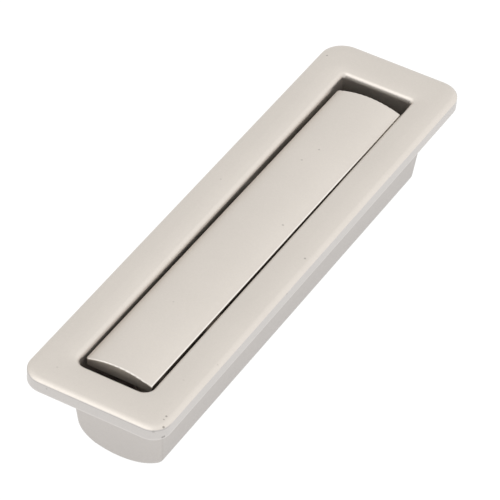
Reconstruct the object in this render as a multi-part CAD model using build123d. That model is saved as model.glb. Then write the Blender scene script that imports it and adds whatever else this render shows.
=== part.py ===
from build123d import *
import math
import os

os.makedirs("parts", exist_ok=True)

# Frame of reference, millimetres: the origin is the centre of the bezel's seating plane (its underside).
# X runs along the pull, Y across it, +Z out of the face. The flap hinges along its -Y edge.

# bezel
bezel_length = 130.0
bezel_width = 32.9
bezel_corner_r = (5.4, 5.4, 4.9, 3.9)    # +X-Y, +X+Y, -X+Y, -X-Y
bezel_side_h = 2.7        # height of the plain vertical side face
rim_rise = 0.65           # the pillowed top stands this much above the side face
rim_crown_w = 3.6         # width of the outer fall of the pillow, gentle first and then round
rim_crown_deg = 8.0       # slope where the gentle part ends
rim_edge_deg = 36.0       # slope at the side face
lip_r = 1.3               # rolled inner lip
lip_crown_w = 3.0         # gentle fall of the pillow toward the lip
lip_crown_deg = 12.0
opening_xc = -0.5
opening_yc = 0.14
opening_half_x = 55.5
opening_half_y = 8.44
opening_corner_r = (0.6, 0.6, 2.3, 2.2)  # +X-Y, +X+Y, -X+Y, -X-Y
lower_edge_r = 0.25       # broken lower edge of the side face

# trough
trough_yc = -1.1          # the trough sits a little toward the hinge side
trough_half_top = 10.85
trough_half_low = 9.9
trough_depth = 20.9
trough_end_top = 57.35    # half length at the seating plane
trough_end_low = 53.3     # half length at the bottom
bow_yc = -0.4             # lowest line of the bowed bottom
bow_r = 15.0              # its radius
corner_right = 1.0        # bottom corner blend on the hinge side
corner_left = 3.4         # bottom corner blend on the free side
wall = 1.0
end_edge_r = 1.2
cavity_end_low = 51.8     # inner half length at the floor
cavity_plain_z = -1.5     # the end walls are upright down to here, then drafted

# hinge
pin_y = -6.1
pin_z = -1.6
pin_r = 0.8
pin_in = 25.4             # each pin runs from here ...
pin_out = 48.2            # ... to here, measured from the middle; it goes in from the middle
ear_r = 1.5
ears = ((28.0, 6.0), (47.2, 2.8))        # centre and width along X, both halves
open_angle = 78.0
stop_plane = 1.57         # distance of the open-stop face from the pin axis
ledge_z = 0.0             # top of the inner ears, the closed stop under the flap's hinge-side skirt

# flap
flap_length = 103.9
flap_width = 15.54
flap_xc = -0.875
flap_yc = 0.2
flap_skew = 0.25          # degrees: the plate sits a little askew on its hinge line
flap_edge_z = 1.5         # top of the long edges
flap_sag = 1.47           # crown height over the edges
flap_skin = 1.5
flap_skirt = 1.25
flap_bottom_z = 0.05
flap_edge_r = 0.25
flap_corner_r = 0.6       # plan corners on the free side; those on the hinge side are square
knuckle_r = 1.5
knuckle_bore_r = 0.85
knuckles = ((33.6, 4.6), (44.1, 2.8))    # centre and width along X, both halves

# return springs
wire_r = 0.25
coil_r = 1.3
coil_pitch = 0.66
coil_turns = 7.25
coil_x = 36.9             # start of the coil, measured from the middle
leg_down = 6.5
leg_out = 7.5

# screw holes in the trough floor
screw_x = 32.0
screw_y = 3.7
screw_pad_r = 4.2
screw_pad_z = -17.7
screw_r = 2.15

top_z = bezel_side_h + rim_rise


def slab(x0, x1, y0, y1, z0, z1):
    return Pos((x0 + x1) / 2, (y0 + y1) / 2, (z0 + z1) / 2) * Box(x1 - x0, y1 - y0, z1 - z0)


def face_yz(points):
    # closed polygon in the YZ plane, as a face at x = 0
    return make_face(Polyline(*[(0, y, z) for y, z in points], close=True))


def bar_x(face, x0, x1):
    return Pos(x0, 0, 0) * extrude(face, amount=x1 - x0, dir=(1, 0, 0))


def trough_face(inset):
    # outer section of the trough, or its offset inward by inset
    low = trough_half_low - inset
    top = trough_half_top - inset
    rad = bow_r - inset
    zt = 1.0
    cl = max(corner_left - inset * 0.8, 1.0)
    cr = max(corner_right - inset * 0.8, 1.0)

    def bottom(y):
        return -trough_depth + bow_r - math.sqrt(rad * rad - (y - bow_yc) ** 2)

    def side(sign, t):
        # point t up the side from the unrounded corner
        z0 = bottom(trough_yc + sign * low)
        return (trough_yc + sign * (low + (top - low) * t / (zt - z0)), z0 + t)

    yl, yr = trough_yc + low - cl, trough_yc - low + cr
    a = side(1, cl)
    b = (yl, bottom(yl))
    c = (yr, bottom(yr))
    d = side(-1, cr)
    tl = (trough_yc + top, zt)
    tr = (trough_yc - top, zt)
    cornerl = side(1, 0)
    cornerr = side(-1, 0)

    def v(p):
        return (0, p[0], p[1])

    e = [
        Line(v(tr), v(tl)),
        Line(v(tl), v(a)),
        Bezier(v(a), v(cornerl), v(b)),
        ThreePointArc(v(b), v((bow_yc, bottom(bow_yc))), v(c)),
        Bezier(v(c), v(cornerr), v(d)),
        Line(v(d), v(tr)),
    ]
    return make_face(e)


def end_prism(top_half, low_half, z_top, z_plain, z_low, grow):
    # block along X, upright from z_top to z_plain, its ends drafted from there to z_low
    pts = [(-top_half, z_top), (top_half, z_top), (top_half, z_plain), (low_half, z_low), (-low_half, z_low), (-top_half, z_plain)]
    if z_plain == z_top:
        pts = [pts[0], pts[1], pts[3], pts[4]]
    f = make_face(Polyline(*[(x, 0, z) for x, z in pts], close=True))
    return Pos(0, grow, 0) * extrude(f, amount=2 * grow, dir=(0, -1, 0))


def ring_path(hx, hy, xc, yc, radii, z):
    # closed path round a rectangle, from x = 0 on its -Y side toward +X; radii: +X-Y, +X+Y, -X+Y, -X-Y
    k = 1 - math.sqrt(0.5)
    x0, x1, y0, y1 = xc - hx, xc + hx, yc - hy, yc + hy
    ra, rb, rc, rd = radii
    line, arc = Edge.make_line, Edge.make_three_point_arc
    return Wire([
        line((0, y0, z), (x1 - ra, y0, z)),
        arc((x1 - ra, y0, z), (x1 - ra * k, y0 + ra * k, z), (x1, y0 + ra, z)),
        line((x1, y0 + ra, z), (x1, y1 - rb, z)),
        arc((x1, y1 - rb, z), (x1 - rb * k, y1 - rb * k, z), (x1 - rb, y1, z)),
        line((x1 - rb, y1, z), (x0 + rc, y1, z)),
        arc((x0 + rc, y1, z), (x0 + rc * k, y1 - rc * k, z), (x0, y1 - rc, z)),
        line((x0, y1 - rc, z), (x0, y0 + rd, z)),
        arc((x0, y0 + rd, z), (x0 + rd * k, y0 + rd * k, z), (x0 + rd, y0, z)),
        line((x0 + rd, y0, z), (0, y0, z)),
    ])


def on_circle(cy, cz, radius, deg):
    # point of a circle in the YZ plane; deg is its slope there, tilting outward along -Y
    return (0, cy - radius * math.sin(math.radians(deg)), cz + radius * math.cos(math.radians(deg)))


# ---------------------------------------------------------------- frame
hl = bezel_length / 2
half_w = bezel_width / 2
bezel = extrude(make_face(ring_path(hl, half_w, 0, 0, bezel_corner_r, 0.0)), amount=top_z, dir=(0, 0, 1))

# outer fall of the pillowed top, swept round the bezel: a gentle arc and then a tight one, tangent to each other
s1, c1 = math.sin(math.radians(rim_crown_deg)), math.cos(math.radians(rim_crown_deg))
s2, c2 = math.sin(math.radians(rim_edge_deg)), math.cos(math.radians(rim_edge_deg))
edge_r = (rim_rise - rim_crown_w * (1 - c1) / s1) / ((c1 - c2) - (s2 - s1) * (1 - c1) / s1)
crown_r = (rim_crown_w - edge_r * (s2 - s1)) / s1
y_in = -half_w + rim_crown_w
crown_c = (y_in, top_z - crown_r)
join = on_circle(*crown_c, crown_r, rim_crown_deg)
edge_c = (join[1] + edge_r * s1, join[2] - edge_r * c1)
cut_face = make_face([
    Line((0, -half_w, bezel_side_h), (0, -half_w - 1.0, bezel_side_h)),
    Line((0, -half_w - 1.0, bezel_side_h), (0, -half_w - 1.0, top_z + 1.0)),
    Line((0, -half_w - 1.0, top_z + 1.0), (0, y_in, top_z + 1.0)),
    Line((0, y_in, top_z + 1.0), (0, y_in, top_z)),
    ThreePointArc((0, y_in, top_z), on_circle(*crown_c, crown_r, rim_crown_deg / 2), join),
    ThreePointArc(join, on_circle(*edge_c, edge_r, (rim_crown_deg + rim_edge_deg) / 2), (0, -half_w, bezel_side_h)),
])
bezel = bezel - sweep(cut_face, path=ring_path(hl, half_w, 0, 0, bezel_corner_r, bezel_side_h))

# trough body: bowed section along X, drafted ends
slope = (trough_end_top - trough_end_low) / trough_depth
body = bar_x(trough_face(0.0), -60, 60) & end_prism(trough_end_top + slope * 1.0, trough_end_low - slope * 2.0, 1.0, 1.0, -trough_depth - 2.0, 20)
ends = [e for e in body.edges() if abs(abs(e.center().X) - 55.7) < 2.6 and e.center().Z < 0.5 and not (abs(e.bounding_box().min.X) < 50)]
body = fillet(ends, end_edge_r)
frame = bezel + body

# cavity, open at the face
c_slope = (opening_half_x - cavity_end_low) / (trough_depth - wall + cavity_plain_z)
opening = (opening_half_x, opening_half_y, opening_xc, opening_yc, opening_corner_r)
straight = extrude(make_face(ring_path(*opening, -1.5)), amount=top_z + 3.0, dir=(0, 0, 1))
inner = bar_x(trough_face(wall), -60, 60) & (Pos(opening_xc, 0, 0) * end_prism(opening_half_x, opening_half_x - c_slope * (trough_depth + 1.0 + cavity_plain_z), 0.0, cavity_plain_z, -trough_depth - 1.0, 20))
inner = inner & slab(-60, 60, opening_yc - opening_half_y, opening_yc + opening_half_y, -30, 0.0)
frame = frame - straight - inner

# inner fall of the pillow and the rolled lip, swept round the opening
s3, c3 = math.sin(math.radians(lip_crown_deg)), math.cos(math.radians(lip_crown_deg))
y_wall = opening_yc - opening_half_y
z_wall = top_z - lip_crown_w * (1 - c3) / s3 - lip_r * c3
lip_c = (y_wall - lip_r, z_wall)
lip_join = (0, lip_c[0] + lip_r * s3, lip_c[1] + lip_r * c3)
y_out = lip_join[1] - lip_crown_w
fall_r = lip_crown_w / s3
lip_face = make_face([
    Line((0, y_wall, z_wall), (0, y_wall + 0.4, z_wall)),
    Line((0, y_wall + 0.4, z_wall), (0, y_wall + 0.4, top_z + 1.0)),
    Line((0, y_wall + 0.4, top_z + 1.0), (0, y_out, top_z + 1.0)),
    Line((0, y_out, top_z + 1.0), (0, y_out, top_z)),
    ThreePointArc((0, y_out, top_z), on_circle(y_out, top_z - fall_r, fall_r, -lip_crown_deg / 2), lip_join),
    ThreePointArc(lip_join, on_circle(*lip_c, lip_r, -(90 + lip_crown_deg) / 2), (0, y_wall, z_wall)),
])
frame = frame - sweep(lip_face, path=ring_path(*opening, z_wall))

# broken lower edge of the side face
low_edges = [e for e in frame.edges() if abs(e.center().Z) < 0.01 and (abs(e.center().X) > hl - 3.0 or abs(e.center().Y) > half_w - 3.0)]
frame = fillet(low_edges, lower_edge_r)

# hinge ears, standing off the -Y wall; the lower front face is the open stop
nx, nz = math.sin(math.radians(open_angle)), math.cos(math.radians(open_angle))
wall_y = opening_yc - opening_half_y


def stop_y(z):
    # y, from the pin, of the open-stop face at height z from the pin
    return (stop_plane - z * nz) / nx


for ex, ew in [(sx * ex, ew) for sx in (-1, 1) for ex, ew in ears]:
    x0, x1 = ex - ew / 2, ex + ew / 2
    prof = face_yz([
        (wall_y - 0.5, pin_z + 0.0),
        (pin_y, pin_z + 0.0),
        (pin_y + 1.45, pin_z - 0.4),
        (pin_y + stop_y(-2.2), pin_z - 2.2),
        (pin_y + stop_y(-6.2), pin_z - 6.2),
        (wall_y - 0.5, pin_z - 9.5),
    ])
    knob = Pos(x0, pin_y, pin_z) * (Rot(0, 90, 0) * Cylinder(ear_r, ew, align=(Align.CENTER, Align.CENTER, Align.MIN)))
    arm = slab(x0, x1, wall_y - 0.5, pin_y, pin_z - 1.0, pin_z + 1.0)
    frame = frame + (bar_x(prof, x0, x1) + knob + arm)
    if abs(ex) == ears[0][0]:
        # ledge that the closed flap's hinge-side skirt comes down on
        frame = frame + slab(x0, x1, wall_y - 0.5, pin_y - 0.35, pin_z, ledge_z)

# seats for the springs' lower legs
for sx in (-1, 1):
    frame = frame + slab(sx * coil_x - 1.3, sx * coil_x + 1.3, wall_y - 0.5, pin_y - coil_r - wire_r - 0.05, pin_z - 7.3, pin_z - 3.6)

# pin holes, from the inner ears into the outer ones
for sx in (-1, 1):
    frame = frame - Pos(sx * (20.0 + pin_out) / 2, pin_y, pin_z) * (Rot(0, 90, 0) * Cylinder(pin_r, pin_out - 20.0))

# flat pads on the floor with the screw holes
for sx in (-1, 1):
    pad = Pos(sx * screw_x, screw_y, screw_pad_z) * Cylinder(screw_pad_r, 4.0, align=(Align.CENTER, Align.CENTER, Align.MAX))
    frame = frame + (pad & body)
    frame = frame - Pos(sx * screw_x, screw_y, -trough_depth + 1.0) * Cylinder(screw_r, 6.0)

# ---------------------------------------------------------------- flap
arc_flap = ((flap_width / 2) ** 2 + flap_sag ** 2) / (2 * flap_sag)
ya, yb = flap_yc - flap_width / 2, flap_yc + flap_width / 2
xa, xb = flap_xc - flap_length / 2, flap_xc + flap_length / 2
crown_z = flap_edge_z + flap_sag
outer = make_face([
    Line((0, ya, flap_bottom_z), (0, ya, flap_edge_z)),
    ThreePointArc((0, ya, flap_edge_z), (0, flap_yc, crown_z), (0, yb, flap_edge_z)),
    Line((0, yb, flap_edge_z), (0, yb, flap_bottom_z)),
    Line((0, yb, flap_bottom_z), (0, ya, flap_bottom_z)),
])
flap = bar_x(outer, xa, xb)
flap = fillet([e for e in flap.edges() if abs(e.center().X - flap_xc) > flap_length / 2 - 0.01 and abs(e.center().Z - (flap_bottom_z + flap_edge_z) / 2) < 0.01 and e.center().Y > flap_yc], flap_corner_r)
top_edges = [e for e in flap.edges() if e.center().Z > flap_edge_z - 0.01]
flap = fillet(top_edges, flap_edge_r)
r_in = arc_flap - flap_skin
wi = flap_width / 2 - flap_skirt
zi = crown_z - arc_flap + math.sqrt(r_in * r_in - wi * wi)
hollow = make_face([
    Line((0, flap_yc - wi, -3.0), (0, flap_yc - wi, zi)),
    ThreePointArc((0, flap_yc - wi, zi), (0, flap_yc, crown_z - flap_skin), (0, flap_yc + wi, zi)),
    Line((0, flap_yc + wi, zi), (0, flap_yc + wi, -3.0)),
    Line((0, flap_yc + wi, -3.0), (0, flap_yc - wi, -3.0)),
])
flap = flap - bar_x(hollow, xa + 1.6, xb - 1.6)
flap = Pos(flap_xc, flap_yc, 0) * (Rot(0, 0, -flap_skew) * (Pos(-flap_xc, -flap_yc, 0) * flap))


def skin_under(y):
    return crown_z - arc_flap + math.sqrt((arc_flap - 0.6) ** 2 - (y - flap_yc) ** 2)


for sx in (-1, 1):
    for kx, kw in knuckles:
        x0, x1 = sx * kx - kw / 2, sx * kx + kw / 2
        boss = Pos(x0, pin_y, pin_z) * (Rot(0, 90, 0) * Cylinder(knuckle_r, kw, align=(Align.CENTER, Align.CENTER, Align.MIN)))
        web = bar_x(face_yz([
            (pin_y - 1.2, pin_z), (pin_y - 1.2, 0.6), (pin_y + 3.4, skin_under(pin_y + 3.4)),
            (pin_y + 1.5, pin_z),
        ]), x0, x1)
        flap = flap + (boss + web)
    # rib that meets the ear at full travel
    rib = bar_x(face_yz([
        (pin_y + 2.6, flap_bottom_z), (pin_y + 2.6, skin_under(pin_y + 2.6)),
        (pin_y + 7.4, skin_under(pin_y + 7.4)), (pin_y + 7.4, flap_bottom_z),
    ]), sx * ears[0][0] - 2.5, sx * ears[0][0] + 2.5)
    flap = flap + rib
    # rib that the spring leg bears on
    xl = sx * (coil_x + coil_pitch * coil_turns)
    y_leg = pin_y + leg_out - 1.6
    flap = flap + slab(xl - 1.2, xl + 1.2, y_leg - 1.2, y_leg + 1.2, pin_z + coil_r + wire_r + 0.05, skin_under(y_leg))
flap = flap - Pos(0, pin_y, pin_z) * (Rot(0, 90, 0) * Cylinder(knuckle_bore_r, 2 * trough_end_top))

# ---------------------------------------------------------------- pins
pin = Pos((pin_in + pin_out) / 2, pin_y, pin_z) * (Rot(0, 90, 0) * Cylinder(pin_r, pin_out - pin_in))
pin_far = chamfer(pin.edges().filter_by(GeomType.CIRCLE), 0.25)
pin_near = Pos(-(pin_in + pin_out), 0, 0) * pin_far


# ---------------------------------------------------------------- return springs
def spring(sign):
    # coil about the pin: leg down along the -Y wall at the inner end, leg out under the flap at the outer end
    height = coil_pitch * coil_turns
    helix = Helix(pitch=coil_pitch, height=height, radius=coil_r)
    # the helix starts at local +X; turned so that its axis lies along X and it starts at -Y
    coil = sweep(Plane(origin=helix @ 0, z_dir=helix % 0) * Circle(wire_r), path=helix)
    p0, t0 = helix @ 0, helix % 0
    p1, t1 = helix @ 1, helix % 1
    leg0 = Plane(origin=p0, z_dir=-t0) * Cylinder(wire_r, leg_down, align=(Align.CENTER, Align.CENTER, Align.MIN))
    leg1 = Plane(origin=p1, z_dir=t1) * Cylinder(wire_r, leg_out, align=(Align.CENTER, Align.CENTER, Align.MIN))
    return coil + leg0 + leg1


raw = spring(1)
# local Z lies along world X and local X along world -Y; mirrored so the first leg points down and the last to +Y
lay = Plane(origin=(coil_x, pin_y, pin_z), x_dir=(0, -1, 0), z_dir=(1, 0, 0))
spring_far = mirror(lay * raw, about=Plane.XY.offset(pin_z))
spring_near = mirror(spring_far, about=Plane.YZ)

for name, shape in (("frame", frame), ("flap", flap), ("hinge_pin_near", pin_near), ("hinge_pin_far", pin_far), ("return_spring_near", spring_near), ("return_spring_far", spring_far)):
    solids = shape.solids()
    b = shape.bounding_box()
    print(name, len(solids), round(shape.volume, 1), [round(v, 2) for v in (b.min.X, b.min.Y, b.min.Z, b.max.X, b.max.Y, b.max.Z)])
    shape = solids[0] if len(solids) == 1 else shape
    export_step(shape, "parts/%s.step" % name)
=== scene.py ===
import math

import bpy
from mathutils import Matrix, Vector


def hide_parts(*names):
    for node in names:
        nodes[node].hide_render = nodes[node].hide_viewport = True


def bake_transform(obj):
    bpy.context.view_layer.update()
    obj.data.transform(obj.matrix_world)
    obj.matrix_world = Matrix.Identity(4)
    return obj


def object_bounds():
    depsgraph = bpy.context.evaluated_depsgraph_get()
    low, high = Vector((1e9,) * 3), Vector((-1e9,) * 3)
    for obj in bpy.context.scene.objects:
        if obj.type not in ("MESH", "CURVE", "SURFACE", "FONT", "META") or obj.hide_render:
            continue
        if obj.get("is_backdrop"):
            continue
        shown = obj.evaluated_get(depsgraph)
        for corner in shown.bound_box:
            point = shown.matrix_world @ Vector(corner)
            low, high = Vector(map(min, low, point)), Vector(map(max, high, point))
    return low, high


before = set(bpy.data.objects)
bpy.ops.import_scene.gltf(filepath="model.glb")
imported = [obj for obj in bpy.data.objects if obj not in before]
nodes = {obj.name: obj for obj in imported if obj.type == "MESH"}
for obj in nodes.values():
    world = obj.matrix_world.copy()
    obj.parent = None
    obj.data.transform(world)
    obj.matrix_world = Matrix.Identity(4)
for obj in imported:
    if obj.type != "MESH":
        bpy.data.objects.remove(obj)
low, high = (list(v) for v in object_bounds())


# ------------------------------------------------------------------ helpers
def new_material(name):
    m = bpy.data.materials.new(name)
    m.use_nodes = True
    t = m.node_tree
    for n in list(t.nodes):
        t.nodes.remove(n)
    out = t.nodes.new("ShaderNodeOutputMaterial")
    b = t.nodes.new("ShaderNodeBsdfPrincipled")
    t.links.new(b.outputs["BSDF"], out.inputs["Surface"])
    return m, t, b


def node(t, kind, **inputs):
    n = t.nodes.new(kind)
    for k, v in inputs.items():
        n.inputs[k].default_value = v
    return n


def ramp(t, source, stops):
    r = t.nodes.new("ShaderNodeValToRGB")
    e = r.color_ramp.elements
    while len(e) < len(stops):
        e.new(0.5)
    for s, (p, c) in zip(e, stops):
        s.position = p
        s.color = (*c, 1) if isinstance(c, tuple) else (c, c, c, 1)
    t.links.new(source, r.inputs["Fac"])
    return r.outputs["Color"]


def op(t, operation, a, b=None, c=None, clamp=False):
    n = t.nodes.new("ShaderNodeMath")
    n.operation = operation
    n.use_clamp = clamp
    for i, v in enumerate((a, b, c)):
        if v is None:
            continue
        if isinstance(v, (int, float)):
            n.inputs[i].default_value = v
        else:
            t.links.new(v, n.inputs[i])
    return n.outputs[0]


def smooth(t, value, a, b):
    """0 below a, 1 above b, smooth between; a may be larger than b."""
    n = t.nodes.new("ShaderNodeMapRange")
    n.interpolation_type = "SMOOTHSTEP"
    n.clamp = True
    t.links.new(value, n.inputs["Value"])
    lo_out, hi_out = (0.0, 1.0)
    if a > b:
        a, b, lo_out, hi_out = b, a, 1.0, 0.0
    n.inputs["From Min"].default_value = a
    n.inputs["From Max"].default_value = b
    n.inputs["To Min"].default_value = lo_out
    n.inputs["To Max"].default_value = hi_out
    return n.outputs["Result"]


def mix(t, fac, a, b, blend="MIX"):
    n = t.nodes.new("ShaderNodeMix")
    n.data_type = "RGBA"
    n.blend_type = blend
    for socket, v in (("Factor", fac), ("A", a), ("B", b)):
        if isinstance(v, (int, float)):
            n.inputs[socket].default_value = v
        elif isinstance(v, tuple):
            n.inputs[socket].default_value = (*v, 1)
        else:
            t.links.new(v, n.inputs[socket])
    return n.outputs["Result"]


def scaled(c, k):
    return tuple(min(x * k, 1.0) for x in c)


def satin_nickel(name, top, rough, side, body=None, pits=()):
    """Satin nickel plate: a fine blasted grain over a faint cloudy tone, with small dark pits at given points.

    top is the tone of faces that look up; side, that of the upright faces, is a little darker as painted shade, and
    body, that of the trough's outside, is darker still as painted shade under the bezel.
    The walls inside the opening, and the flap's own upright faces, get a lighter tone as painted fill light in the
    recess, and are rougher.
    """
    m, t, b = new_material(name)
    tc = t.nodes.new("ShaderNodeTexCoord")
    geo = t.nodes.new("ShaderNodeNewGeometry")
    pos = t.nodes.new("ShaderNodeSeparateXYZ")
    t.links.new(tc.outputs["Object"], pos.inputs[0])
    nrm = t.nodes.new("ShaderNodeSeparateXYZ")
    t.links.new(geo.outputs["Normal"], nrm.inputs[0])
    x, y, z = pos.outputs["X"], pos.outputs["Y"], pos.outputs["Z"]

    fine = node(t, "ShaderNodeTexNoise", Scale=2600.0, Detail=3.0, Roughness=0.6)
    t.links.new(tc.outputs["Object"], fine.inputs["Vector"])
    grain = node(t, "ShaderNodeTexNoise", Scale=1100.0, Detail=2.0, Roughness=0.5)
    t.links.new(tc.outputs["Object"], grain.inputs["Vector"])
    cloud = node(t, "ShaderNodeTexNoise", Scale=60.0, Detail=3.0, Roughness=0.55)
    t.links.new(tc.outputs["Object"], cloud.inputs["Vector"])

    up = smooth(t, nrm.outputs["Z"], 0.15, 0.6)
    if body is None:
        # painted shade: the flap's top darkens a little toward the hinge side
        tone = mix(t, up, side, mix(t, smooth(t, y, 0.0015, -0.0055), top, scaled(top, 0.945)))
    else:
        tone = mix(t, up, side, top)
    if body is None:
        inside = smooth(t, nrm.outputs["Z"], 0.5, 0.3)
    else:
        toward_axis = op(t, "ADD", op(t, "MULTIPLY", nrm.outputs["X"], x), op(t, "MULTIPLY", nrm.outputs["Y"], y))
        inside = op(t, "MULTIPLY", smooth(t, toward_axis, -0.001, -0.003), smooth(t, z, 0.0022, 0.0016))
        # the bezel's outside band: a dark line under the pillowed top, a painted highlight line on its lower edge, then
        # the trough
        ax, ay = op(t, "ABSOLUTE", x), op(t, "ABSOLUTE", y)
        out_x = smooth(t, ax, 0.0600, 0.0615)
        out_y = smooth(t, ay, 0.0130, 0.0140)
        outside = op(t, "MAXIMUM", out_x, out_y)
        edge = op(t, "ABSOLUTE", op(t, "SUBTRACT", z, 0.00262))
        ends = smooth(t, ax, 0.0600, 0.0625)
        line = op(t, "MULTIPLY", op(t, "MULTIPLY", smooth(t, edge, 0.00022, 0.00008), outside), ends)
        wander = ramp(t, cloud.outputs["Fac"], [(0.35, 0.35), (0.65, 1.0)])
        line = op(t, "MULTIPLY", line, wander)
        tone = mix(t, line, tone, scaled(side, 0.74))
        # painted highlight along the bezel's lower edge
        foot_painted_highlight = op(t, "ABSOLUTE", op(t, "SUBTRACT", z, 0.00022))
        foot_painted_highlight = op(t, "MULTIPLY", smooth(t, foot_painted_highlight, 0.00030, 0.00012), outside)
        tone = mix(t, foot_painted_highlight, tone, scaled(side, 1.09))
        deep = smooth(t, z, -0.0001, -0.0004)
        # painted shade on the trough's outside, darker toward the bottom; its end faces are painted lighter, fading
        # downward, as painted light
        trough_painted_tone = mix(t, smooth(t, z, -0.004, -0.020), body, scaled(body, 0.95))
        end_face = smooth(t, op(t, "ABSOLUTE", nrm.outputs["X"]), 0.3, 0.7)
        end_face_painted_light = mix(t, smooth(t, z, -0.008, -0.020), scaled(body, 1.08), scaled(body, 1.03))
        trough_painted_tone = mix(t, end_face, trough_painted_tone, end_face_painted_light)
        tone = mix(t, deep, tone, trough_painted_tone)
    # painted shade: the walls inside are darker down in the far end
    far_low_painted_shade = op(t, "MULTIPLY", smooth(t, z, 0.0010, -0.0040), smooth(t, x, 0.045, 0.054))
    tone = mix(t, inside, tone, mix(t, far_low_painted_shade, INSIDE_FILL_TONE, scaled(INSIDE_FILL_TONE, 0.72)))
    inner_rough = 0.47
    if body is None:
        # painted light: the flap's end faces get a lighter tone toward the crown, lifting them in the gap, and are
        # duller
        ends = op(t, "MULTIPLY", smooth(t, op(t, "ABSOLUTE", nrm.outputs["X"]), 0.6, 0.9), smooth(t, z, 0.0004, 0.0026))
        tone = mix(t, ends, tone, (0.80, 0.74, 0.66))
        inner_rough = op(t, "ADD", op(t, "MULTIPLY", ends, 0.17), 0.47)
        # painted shade on its flanks down in the gap, turning to a painted highlight toward the far end, and painted
        # highlights on its edges along the hinge side and the ends
        flank_shade_and_highlight = smooth(t, op(t, "ABSOLUTE", nrm.outputs["Y"]), 0.50, 0.70)
        far = smooth(t, x, 0.024, 0.042)
        tone = mix(t, flank_shade_and_highlight, tone, mix(t, far, (0.22, 0.19, 0.16), (0.85, 0.80, 0.74)))
        # painted highlight on the rounded arc edges at the flap's ends
        painted_arc_highlight = op(t, "MULTIPLY", smooth(t, op(t, "ABSOLUTE", nrm.outputs["X"]), 0.3, 0.5), smooth(t, nrm.outputs["Z"], 0.35, 0.55))
        tone = mix(t, painted_arc_highlight, tone, (0.75, 0.71, 0.66))
        from_edge = op(t, "ADD", y, op(t, "ADD", op(t, "MULTIPLY", x, 0.00436), 0.00757))
        # painted highlight along the hinge-side edge fillet, fading out toward the far end
        painted_edge_highlight = op(t, "MULTIPLY", smooth(t, from_edge, 0.00042, 0.00022), smooth(t, nrm.outputs["Z"], 0.70, 0.85))
        painted_edge_highlight = op(t, "MULTIPLY", painted_edge_highlight, op(t, "SUBTRACT", 1.0, far))
        tone = mix(t, painted_edge_highlight, tone, (0.84, 0.80, 0.75))
    # cloudy tone and the grain's own light and dark
    c = ramp(t, cloud.outputs["Fac"], [(0.3, 0.975), (0.7, 1.0)])
    tone = mix(t, 1.0, tone, c, "MULTIPLY")
    g = ramp(t, fine.outputs["Fac"], [(0.3, 0.965), (0.7, 1.0)])
    tone = mix(t, 1.0, tone, g, "MULTIPLY")
    if pits:
        total = None
        for (px, py, pz, pr, strength) in pits:
            d = t.nodes.new("ShaderNodeVectorMath")
            d.operation = "DISTANCE"
            t.links.new(tc.outputs["Object"], d.inputs[0])
            d.inputs[1].default_value = (px, py, pz)
            near = op(t, "MULTIPLY", smooth(t, d.outputs["Value"], pr, pr * 0.45), strength)
            total = near if total is None else op(t, "MAXIMUM", total, near)
        tone = mix(t, total, tone, (0.09, 0.08, 0.07))
    t.links.new(tone, b.inputs["Base Color"])
    b.inputs["Metallic"].default_value = 1.0
    r = ramp(t, grain.outputs["Fac"], [(0.3, rough - 0.025), (0.7, rough + 0.025)])
    blend = op(t, "SUBTRACT", 1.0, inside)
    rough_out = op(t, "ADD", op(t, "MULTIPLY", r, blend), op(t, "MULTIPLY", inside, inner_rough))
    t.links.new(rough_out, b.inputs["Roughness"])
    bump = node(t, "ShaderNodeBump", Strength=0.05, Distance=0.0001)
    t.links.new(fine.outputs["Fac"], bump.inputs["Height"])
    t.links.new(bump.outputs["Normal"], b.inputs["Normal"])
    return m


def steel(name, colour, rough):
    """Drawn steel: faint lines round the wire or pin."""
    m, t, b = new_material(name)
    tc = t.nodes.new("ShaderNodeTexCoord")
    mp = t.nodes.new("ShaderNodeMapping")
    mp.inputs["Scale"].default_value = (4000.0, 500.0, 500.0)
    t.links.new(tc.outputs["Object"], mp.inputs["Vector"])
    n = node(t, "ShaderNodeTexNoise", Scale=1.0, Detail=3.0)
    t.links.new(mp.outputs["Vector"], n.inputs["Vector"])
    c = ramp(t, n.outputs["Fac"], [(0.3, scaled(colour, 0.9)), (0.7, colour)])
    t.links.new(c, b.inputs["Base Color"])
    r = ramp(t, n.outputs["Fac"], [(0.3, rough - 0.05), (0.7, rough + 0.08)])
    t.links.new(r, b.inputs["Roughness"])
    b.inputs["Metallic"].default_value = 1.0
    return m


TOP = (0.65, 0.605, 0.554)
# the upright faces' tone is a little darker than the top's as painted shade; the trough's tone is darker still as
# painted shade under the bezel
SIDE_SHADE_TONE = (0.615, 0.588, 0.565)
BODY_SHADE_TONE = (0.53, 0.50, 0.475)
# the inside tone is lighter than the plating: painted fill light on the walls and flap faces down in the recess
INSIDE_FILL_TONE = (0.66, 0.61, 0.56)

# small pits and specks in the plating: place in metres, radius, strength
FRAME_PITS = (
    (-0.06003, -0.01482, 0.00323, 0.00030, 0.55),
    (-0.06108, -0.01486, 0.00320, 0.00024, 0.45),
    (-0.06266, -0.01577, 0.00289, 0.00034, 0.60),
    (-0.06310, -0.01589, 0.00059, 0.00034, 0.45),
    (-0.06278, -0.01606, 0.00063, 0.00034, 0.45),
    (-0.06445, -0.01453, 0.00244, 0.00042, 0.20),
    (-0.05983, 0.01046, 0.00335, 0.00030, 0.16),
    (-0.06500, 0.00964, 0.00197, 0.00028, 0.22),
    (-0.04933, -0.01242, 0.00335, 0.00030, 0.10),
    (-0.04151, -0.01566, 0.00309, 0.00026, 0.16),
    (0.05846, 0.01469, 0.00325, 0.00030, 0.45),
    (0.00853, 0.01273, 0.00335, 0.00030, 0.18),
    (-0.01477, -0.01645, 0.00250, 0.00028, 0.30),
    (-0.00390, -0.01455, 0.00326, 0.00032, 0.45),
)
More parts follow.
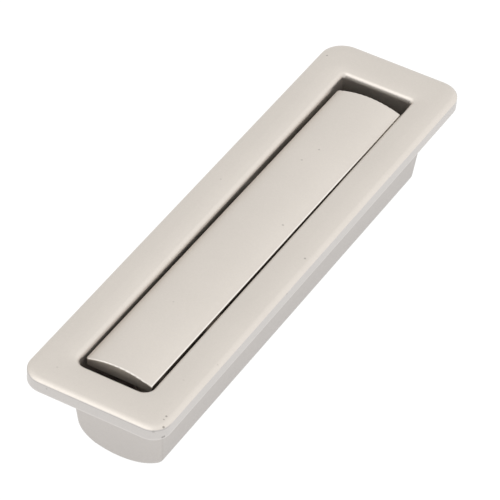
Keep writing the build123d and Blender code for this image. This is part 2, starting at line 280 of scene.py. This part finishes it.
FLAP_PITS = (
    (0.02911, 0.00039, 0.00296, 0.00030, 0.32),
    (0.02410, 0.00183, 0.00289, 0.00030, 0.28),
    (0.00385, -0.00502, 0.00233, 0.00032, 0.34),
    (-0.03001, 0.00140, 0.00294, 0.00028, 0.18),
)

frame_mat = satin_nickel("satin_nickel_frame", TOP, 0.40, SIDE_SHADE_TONE, BODY_SHADE_TONE, FRAME_PITS)
flap_mat = satin_nickel("satin_nickel_flap", scaled(TOP, 1.025), 0.40, SIDE_SHADE_TONE, None, FLAP_PITS)
pin_mat = steel("pin_steel", (0.56, 0.56, 0.56), 0.3)
spring_mat = steel("spring_steel", (0.42, 0.42, 0.43), 0.35)


def assign(name, mat):
    for s in nodes[name].material_slots:
        s.material = mat


assign("frame", frame_mat)
assign("flap", flap_mat)
for n in ("hinge_pin_near", "hinge_pin_far"):
    assign(n, pin_mat)

# ------------------------------------------------------------------ return springs, wound wire
PIN_Y, PIN_Z = -0.0061, -0.0016
WIRE, COIL, PITCH, TURNS, COIL_X = 0.00025, 0.0013, 0.00066, 7.25, 0.0369
LEG_DOWN, LEG_OUT = 0.0065, 0.0075


def spring_path(sign):
    def at(phi):
        return Vector((COIL_X + PITCH * phi / (2 * math.pi), PIN_Y - COIL * math.cos(phi), PIN_Z + COIL * math.sin(phi)))

    end = 2 * math.pi * TURNS
    h = 1e-4
    t0 = (at(h) - at(0)).normalized()
    t1 = (at(end) - at(end - h)).normalized()
    pts = [at(0) - t0 * LEG_DOWN * k for k in (1.0, 0.75, 0.5, 0.25)]
    steps = int(TURNS * 28)
    pts += [at(end * i / steps) for i in range(steps + 1)]
    pts += [at(end) + t1 * LEG_OUT * k for k in (0.2, 0.4, 0.6, 0.8, 1.0)]
    return [Vector((sign * p.x, p.y, p.z)) for p in pts]


def make_spring(name, sign, node_name):
    cu = bpy.data.curves.new(name, "CURVE")
    cu.dimensions = "3D"
    cu.bevel_depth = WIRE
    cu.bevel_resolution = 3
    cu.use_fill_caps = True
    pts = spring_path(sign)
    sp = cu.splines.new("POLY")
    sp.points.add(len(pts) - 1)
    for q, p in zip(sp.points, pts):
        q.co = (*p, 1)
    tmp = bpy.data.objects.new(name + "_path", cu)
    bpy.context.collection.objects.link(tmp)
    bpy.context.view_layer.update()
    me = bpy.data.meshes.new_from_object(tmp)
    bpy.data.objects.remove(tmp)
    me.name = name
    for p in me.polygons:
        p.use_smooth = True
    me.materials.clear()
    me.materials.append(spring_mat)
    o = bpy.data.objects.new(name, me)
    bpy.context.collection.objects.link(o)
    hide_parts(node_name)
    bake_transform(o)
    return o


make_spring("torsion_spring_near", -1, "return_spring_near")
make_spring("torsion_spring_far", 1, "return_spring_far")

# ------------------------------------------------------------------ floor, world and lights
floor_z = low[2]
bpy.ops.mesh.primitive_plane_add(size=6.0, location=(0, 0, floor_z - 0.00002))
floor = bpy.context.active_object
floor.name = "floor"
fm, ft, fb = new_material("floor_white")
fb.inputs["Base Color"].default_value = (0.06, 0.06, 0.06, 1)
fb.inputs["Emission Color"].default_value = (1.0, 1.0, 1.0, 1)
fb.inputs["Emission Strength"].default_value = 1.0
fb.inputs["Roughness"].default_value = 0.9
fb.inputs["Specular IOR Level"].default_value = 0.0
floor.data.materials.append(fm)
floor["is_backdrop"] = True

# a white tent: even all round, brighter where the soft box hangs and along one wall, darker toward the open front
world = bpy.data.worlds.new("studio")
bpy.context.scene.world = world
world.use_nodes = True
wt = world.node_tree
bg = wt.nodes["Background"]
wtc = wt.nodes.new("ShaderNodeTexCoord")


def toward(v):
    v = Vector(v).normalized()
    d = wt.nodes.new("ShaderNodeVectorMath")
    d.operation = "DOT_PRODUCT"
    wt.links.new(wtc.outputs["Generated"], d.inputs[0])
    d.inputs[1].default_value = v
    return d.outputs["Value"]


BOX, BOX_GAIN, BOX_HALO = (-0.44, 0.346, 0.829), 0.63, 0.25
RIGHT, RIGHT_GAIN = (0.62, -0.58, 0.53), 0.30
FRONT, FRONT_LOSS = (-0.923, 0.346, 0.163), 0.85
glow = op(wt, "MULTIPLY", smooth(wt, toward(BOX), 0.80, 0.97), BOX_GAIN)
halo = op(wt, "MULTIPLY", smooth(wt, toward(BOX), 0.38, 0.95), BOX_HALO)
fill = op(wt, "MULTIPLY", smooth(wt, toward(RIGHT), 0.55, 0.90), RIGHT_GAIN)
shade = op(wt, "MULTIPLY", smooth(wt, toward(FRONT), 0.80, 0.97), FRONT_LOSS)
level = op(wt, "ADD", op(wt, "ADD", 1.0, glow), op(wt, "ADD", halo, fill))
level = op(wt, "MULTIPLY", level, op(wt, "SUBTRACT", 1.0, shade))
bg.inputs["Color"].default_value = (1.0, 1.0, 1.0, 1)
wt.links.new(level, bg.inputs["Strength"])

# ------------------------------------------------------------------ camera
AZ, EL, ROLL, DIST, F_PX = -62.872, 40.65, 4.13, 0.75337, 3652.94
TX, TY, Z_EDGE = -0.00725, -0.00345, 0.0027
a, e, r = math.radians(AZ), math.radians(EL), math.radians(ROLL)
back = Vector((math.sin(a) * math.cos(e), -math.cos(a) * math.cos(e), math.sin(e)))
right = Vector((0, 0, 1)).cross(back).normalized()
up = back.cross(right)
right, up = math.cos(r) * right + math.sin(r) * up, -math.sin(r) * right + math.cos(r) * up
cam_data = bpy.data.cameras.new("camera")
cam = bpy.data.objects.new("camera", cam_data)
bpy.context.collection.objects.link(cam)
where = back * DIST + Vector((TX, TY, Z_EDGE))
rot = Matrix((right, up, back)).transposed()
cam.matrix_world = Matrix.Translation(where) @ rot.to_4x4()
cam_data.sensor_width = 36.0
cam_data.sensor_fit = "HORIZONTAL"
cam_data.lens = F_PX / 500.0 * 36.0
cam_data.clip_start = 0.01
cam_data.clip_end = 20.0
bpy.context.scene.camera = cam
bpy.context.scene.view_settings.view_transform = "Standard"
